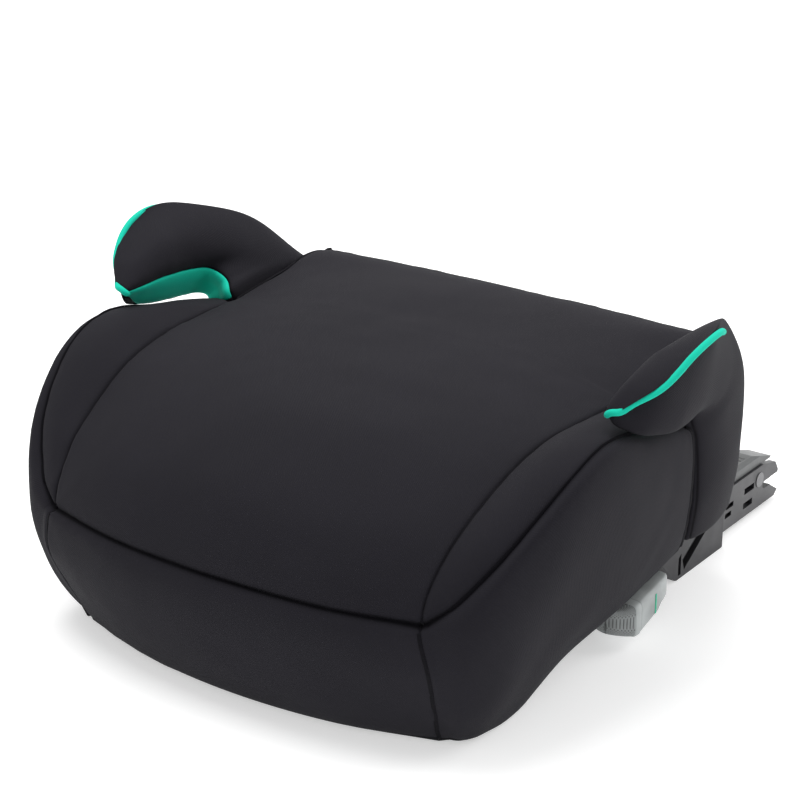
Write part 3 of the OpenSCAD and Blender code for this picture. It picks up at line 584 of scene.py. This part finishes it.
t = clustered([0, 2, 4, 8], [22, 22, 36], 0.6)[:-1]
av = np.concatenate([np.linspace(0, 9, 120)[:-1], np.linspace(9, 10, 18)])
rings = arm_points(t, av)
m = len(t)
tip, foot = rings[-1].mean(0), rings[0].mean(0)
girth = arc(np.concatenate([rings[MIDDLE], rings[MIDDLE][:1]]))[:-1]
uv = np.stack(np.meshgrid(girth, arc(rings[:, 0])), -1).reshape(-1, 2)
last = (len(av) - 1) * m
faces = cells(len(av), m, ring=True)
faces += [[c, (c + 1) % m, len(av) * m] for c in range(m)]
faces += [[last + c, last + (c + 1) % m, len(av) * m + 1] for c in range(m)]
sleeve = make("arm_sleeve_cloth_right", np.concatenate([rings.reshape(-1, 3), [foot], [tip]]), faces,
              np.concatenate([uv, [[0, 0], [0, 0]]]), charcoal)
facing = normals(sleeve)[:-2].reshape(rings.shape) * (rings - rings.mean(1, keepdims=True))
if facing.sum() < 0:
    sleeve.data.flip_normals()
crest_v = np.linspace(4.85, 9.6, 76)
turn_t = np.concatenate([np.linspace(4.12, 8, 12)[1:], [8, 8, 8]])
turn_v = np.concatenate([9.6 + 0.15 * np.sin(np.linspace(0, math.pi / 2, 11)), [9.6, 9.4, 9.2]])
path_t = np.concatenate([np.interp(crest_v, [4.85, 6.2, 7.4], [3.95, 4.08, 4.16]), turn_t])
path_v = np.concatenate([crest_v, turn_v])
crest_path = np.stack([arm_points([a], [b])[0, 0] for a, b in zip(path_t, path_v)])
lining_edge = [arm_points([0.0], np.linspace(2.9, 9.5, 120))[:, 0],
               arm_points([2.0], np.linspace(2.9, 9.5, 120))[:, 0],
               arm_points(np.linspace(0, 2, 20), [9.5])[0]]
p, n = coords(sleeve), normals(sleeve)
d_crest, d_lining = distance(p, crest_path), distance(p, *lining_edge)
column_v = np.linspace(0, 3, 60)
d_foot = distance(p, arm_points([0.0], column_v)[:, 0], arm_points([2.0], column_v)[:, 0])
move = seam(d_crest, 0.8, 2.4) + seam(d_lining, 0.8, 2.0) + seam(d_foot, 0.8, 2.5)
under = np.concatenate([np.tile((t > 0.01) & (t < 1.99), len(av)), [False, False]])
rear = np.concatenate([np.repeat(av, m), [0, 10]])
move -= np.where(under & (rear > 2.95) & (rear < 9.5), 1.6, 0)
move += 0.6 * waves(p, 34, 1.0) + 0.4 * waves(p, 8, 4.0) * np.exp(-np.minimum(d_crest, d_lining) / 8)
p = p + n * move[:, None]
body = p[:-2].reshape(len(av), m, 3)
soft = np.clip(1.4 - np.abs(av - 4.6) / 1.5, 0, 1)[1:-1, None, None] * 0.5
soft = soft * np.clip(np.minimum(t - 2.1, 7.5 - t), 0, 1)[None, :, None]
for _ in range(60):
    mean = (np.roll(body, 1, 1)[1:-1] + np.roll(body, -1, 1)[1:-1] + body[:-2] + body[2:]) / 4
    body[1:-1] += soft * (mean - body[1:-1])
set_coords(sleeve, p)
# Painted shade along the seams at the arm's foot and round the lining.
set_painted_shade(sleeve, 0.6 * np.exp(-(np.minimum(d_foot, d_lining) / 1.3) ** 2))

share, lv = np.linspace(0, 1, 22), np.linspace(2.95, 9.1, 90)
wide = 1.78 - 1.0 * np.clip((lv - 7.6) / 1.4, 0, 1)
under_face = np.stack([arm_points(0.04 + (b - 0.04) * share, [a])[0] for a, b in zip(lv, wide)])
gn = grid_normals(under_face)
if gn[:, :, 2].mean() > 0:
    gn = -gn
fade = 1 - np.clip((lv - 7.8) / 1.2, 0, 1)
puff = (np.sin(np.pi * share) ** 0.5)[None, :, None] * fade[:, None, None]
lining = slab("arm_lining_cloth_right", under_face + gn * (-0.4 + 1.6 * puff),
              under_face - gn * LINING_T, teal)

cord_r = np.full(len(crest_path), CORD)
cord_r[:8] = np.linspace(0.5, CORD, 8)
cord_r[-4:] = np.linspace(CORD, 1.6, 4)
col = np.interp(path_t, np.append(t, 8), np.arange(m + 1))
row = np.interp(path_v, av, np.arange(len(av)))
r0, c0 = np.minimum(row.astype(int), len(av) - 2), col.astype(int)
fr, fc = (row - r0)[:, None], (col - c0)[:, None]


def ease(line, start=0):
    """Smooth the inner points of line[start:] once, in place."""
    q = line[start:]
    q[1:-1] = (q[:-2] + 2 * q[1:-1] + q[2:]) / 4


def on_body(grid):
    """Values of a sleeve grid along the cord's path."""
    return ((grid[r0, c0 % m] * (1 - fc) + grid[r0, (c0 + 1) % m] * fc) * (1 - fr)
            + (grid[r0 + 1, c0 % m] * (1 - fc) + grid[r0 + 1, (c0 + 1) % m] * fc) * fr)


smooth, out = on_body(body), on_body(normals(sleeve)[:-2].reshape(len(av), m, 3))
for step in range(30):
    ease(out)
    if step % 5 == 0:
        ease(smooth)
    ease(smooth, -17)
out /= np.linalg.norm(out, axis=1)[:, None]
proud = np.concatenate([np.linspace(-2.6, CORD_PROUD, 8), np.full(len(out) - 8, CORD_PROUD)])
piping = tube("arm_piping_cord_right", smooth + out * proud[:, None], cord_r, teal, 16)

core_rings = arm_points(np.arange(0, 8, 0.25), np.linspace(0.4, 8.3, 60))
hubs = core_rings.mean(1, keepdims=True)
gap = hubs - core_rings
length = np.linalg.norm(gap, axis=2, keepdims=True)
core_rings = core_rings + gap * np.minimum(CORE_INSET / length, 0.75)
cm = core_rings.shape[1]
core_faces = cells(60, cm, ring=True) + [list(range(cm)), list(range(59 * cm, 60 * cm))]
core_uv = np.stack(np.meshgrid(np.arange(cm) * 4.0, np.arange(60) * 4.0), -1).reshape(-1, 2)
core = make("arm_core_foam_right", core_rings.reshape(-1, 3), core_faces, core_uv, foam)

for obj, cad, name in ((sleeve, "arm_sleeve", "charcoal_fabric"), (lining, "arm_lining", "turquoise_fabric"),
                       (piping, "arm_piping", "turquoise_fabric"), (core, "arm_core", "foam")):
    twin = mirrored(obj, obj.name.replace("right", "left"))
    for piece, side in ((obj, "_right"), (twin, "_left")):
        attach(piece, "base")
        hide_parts(cad + side)

# ---------------------------------------------------------------- side grips

def grip_ring(y, sides, grow=0.0):
    """Rounded-box section of the right grip at y."""
    low = np.interp(y, [14, 30, 58, 62, 72, 75], [13, 8.5, 16.5, 21, 25.5, 30])
    high = np.interp(y, [14, 71, 74.5], [30.8, 42, 38])
    nose = math.sqrt(max(0.0, GRIP_R ** 2 - (GRIP_Y - y) ** 2)) if y < GRIP_Y else GRIP_R
    x0, x1 = GRIP_X - min(nose, GRIP_IN), GRIP_X + nose
    if y > 66:
        x1 -= 5.0 * ((y - 66) / 9) ** 2
    a = np.arange(sides) * 2 * np.pi / sides
    c, s = np.cos(a), np.sin(a)
    px = np.sign(c) * np.abs(c) ** GRIP_SQUARE
    pz = np.sign(s) * np.abs(s) ** GRIP_SQUARE
    return np.stack([(x0 + x1) / 2 + px * ((x1 - x0) / 2 + grow), np.full(sides, float(y)),
                     (low + high) / 2 + pz * ((high - low) / 2 + grow)], 1)


def grip_loft(name, stations, grows, material, sides=96, dimples=False):
    """Grip piece lofted through sections at the stations, with rows of dimples and painted shade in them if
    asked.
    """
    rings = np.stack([grip_ring(y, sides, g) for y, g in zip(stations, grows)])
    if dimples:
        run = np.concatenate([[0], np.cumsum(np.linalg.norm(np.diff(rings, axis=0), axis=2).mean(1))])
        ends = rings.mean(1, keepdims=True)
        away = rings - ends
        around = np.arange(sides) * GRIP_GIRTH / sides
        cell = np.cos(2 * np.pi * around / DIMPLE)[None] * np.cos(2 * np.pi * run / DIMPLE)[:, None]
        depth = 0.6 * np.clip(cell, 0, 1)[..., None]
        rings = rings - away / np.maximum(np.linalg.norm(away, axis=2, keepdims=True), 1) * depth
    m = rings.shape[1]
    around = np.arange(m) * GRIP_GIRTH / m
    uv = np.stack(np.meshgrid(around, np.asarray(stations, float)), -1).reshape(-1, 2)
    k = len(stations) - 1
    faces = cells(len(stations), m, ring=True) + [list(range(m))[::-1], list(range(k * m, k * m + m))]
    obj = make(name, rings.reshape(-1, 3), faces, uv, material)
    if dimples:
        # Painted shade in the dimple hollows.
        set_painted_shade(obj, 0.7 * np.clip(cell.ravel() * 1.6 - 0.3, 0, 1))
    return obj


def solid_plate(y0, y1, outline):
    """Points and faces of a plate between two y values, outline in [x, z] points."""
    k = len(outline)
    pts = [[x, y0, z] for x, z in outline] + [[x, y1, z] for x, z in outline]
    faces = [list(range(k)), list(range(k, 2 * k))[::-1]]
    faces += [[i, (i + 1) % k, k + (i + 1) % k, k + i] for i in range(k)]
    return pts, faces


rim = np.array([27.0, 27.4, 28.2, 32.2, 33.0, 33.4, 33.8, 34.6])
body_y = np.concatenate([rim, np.linspace(37, 68, 16), np.linspace(69, 74.6, 8)])
body_g = np.concatenate([[-1.2, 0.15, 0.35, 0.35, 0.15, -0.5, -0.1, 0.0], np.zeros(16),
                         -np.linspace(0, 1, 8) ** 3 * 3.0])
shell = grip_loft("grip_shell_right", body_y, body_g, grip_paint)
ramp = [[143, 41.3], [143, 43.6], [157, 54.1], [164, 54.1], [164, 41.3]]
fork_pts, fork_faces = [], []
for y0, y1, outline in ((31, 35.5, ramp), (44.5, 49, ramp),
                        (29, 51, [[158.5, 26], [158.5, 54.4], [165, 54.4], [165, 26]])):
    pts, faces = solid_plate(y0, y1, outline)
    fork_faces += [[i + len(fork_pts) for i in f] for f in faces]
    fork_pts += pts
fork = make("grip_fork_right", fork_pts, fork_faces, np.zeros((len(fork_pts), 2)), grip_paint)
fork_edges = fork.modifiers.new("edges", "BEVEL")
fork_edges.width, fork_edges.segments = 0.4 * MM, 2
nose_y = np.concatenate([[15.02, 15.06], 15 + 12.6 * np.linspace(0, 1, 90)[1:] ** 1.6])
nose = grip_loft("grip_pad_skin_right", nose_y, np.concatenate([[-2.0, -0.8], np.full(89, 0.0)]), pad_paint,
                 sides=320, dimples=True)
mark = [[190.02, 52.4, 18.0], [190.02, 54.0, 18.0], [190.02, 54.0, 33.0], [190.02, 52.4, 33.0]]
bar_pts = mark + [[190.35, y, z] for _, y, z in mark]
bar = make("grip_mark_right", bar_pts, [[0, 1, 2, 3], [7, 6, 5, 4], [0, 4, 5, 1], [1, 5, 6, 2], [2, 6, 7, 3],
                                        [3, 7, 4, 0]], np.zeros((8, 2)), green)
for obj, cad, name in ((shell, "grip", "grip_plastic"), (fork, "grip", "grip_plastic"),
                       (nose, "grip_pad", "pad_plastic"), (bar, "grip", "grip_plastic")):
    twin = mirrored(obj, obj.name.replace("right", "left"))
    for piece, side in ((obj, "right"), (twin, "left")):
        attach(piece, "grip_" + side)
        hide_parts(cad + "_" + side)

# ---------------------------------------------------------------- CAD pieces

FINISH = {"seat_shell": dark, "base_tray": dark, "rail_bracket": dark, "rail_guide": dark, "connector": paint,
          "release_slider": slider, "rubber_feet": rubber, "hook_rivet": rivet}
ROUNDED = {"rail_bracket": 0.9, "rail_guide": 0.5, "connector": 0.7, "release_slider": 1.4, "base_tray": 0.5,
           "slide_frame": 0.5, "latch_hook": 0.35, "hook_rivet": 0.4, "lock_pin": 0.5, "rubber_feet": 0.4}
for part in frame["record"]["subparts"]:
    obj = bpy.data.objects.get(part["node"])
    if obj is None or obj.hide_render:
        continue
    base = part["node"].replace("_left", "").replace("_right", "")
    obj.data.materials.clear()
    obj.data.materials.append(FINISH.get(base, steel))
    if base in ROUNDED:
        edge = obj.modifiers.new("edges", "BEVEL")
        edge.width, edge.segments, edge.angle_limit = ROUNDED[base] * MM, 3, 0.6
        edge.use_clamp_overlap = True
        edge.harden_normals = False

# ---------------------------------------------------------------- stage, lights and camera

def area(name, where, size, power):
    """White area light aimed at the lower middle of the seat."""
    data = bpy.data.lights.new(name, "AREA")
    data.energy, data.size = power, size
    obj = bpy.data.objects.new(name, data)
    bpy.context.collection.objects.link(obj)
    obj.location = where
    obj.rotation_euler = (Vector((0, 0, 0.1)) - Vector(where)).to_track_quat("-Z", "Y").to_euler()


span = np.linspace(0, 1, 40)
sweep = np.array([[0, -6.0, 0]] + [[0, -6 + 9 * s, 0] for s in span]
                 + [[0, 3 + 1.6 * math.sin(a), 1.6 - 1.6 * math.cos(a)] for a in span * math.pi / 2]
                 + [[0, 4.6, 1.6 + 5 * s] for s in span[1:]])
back = np.concatenate([sweep + [-8, 0, 0], sweep + [8, 0, 0]]) * 1000
white = new_material("floor", (0.75, 0.75, 0.75), 0.9)
white.node_tree.nodes["Principled BSDF"].inputs["Emission Color"].default_value = (1, 1, 1, 1)
white.node_tree.nodes["Principled BSDF"].inputs["Emission Strength"].default_value = 0.45
floor = make("floor", back, cells(2, len(sweep)), np.zeros((len(back), 2)), white)
world = bpy.data.worlds.new("studio")
bpy.context.scene.world = world
world.use_nodes = True
world.node_tree.nodes["Background"].inputs["Color"].default_value = (1, 1, 1, 1)
world.node_tree.nodes["Background"].inputs["Strength"].default_value = 0.62
area("key", (-0.5, 0.1, 2.3), 1.6, 46)
area("rim", (1.3, 1.5, 1.5), 1.2, 12)
area("front", (1.4, -2.2, 0.9), 1.4, 6)
bpy.context.scene.view_settings.view_transform = "Standard"

camera = bpy.data.objects.new("camera", bpy.data.cameras.new("camera"))
bpy.context.collection.objects.link(camera)
bpy.context.scene.camera = camera
turn, tilt = math.radians(35.2), math.radians(21.9)
forward = Vector((-math.sin(turn) * math.cos(tilt), math.cos(turn) * math.cos(tilt), -math.sin(tilt)))
camera.location = (0.9, -1.2631, 0.7756)
camera.rotation_euler = forward.to_track_quat("-Z", "Y").to_euler()
camera.data.sensor_width = 36
camera.data.lens = 106.8
camera.data.clip_start, camera.data.clip_end = 0.05, 50
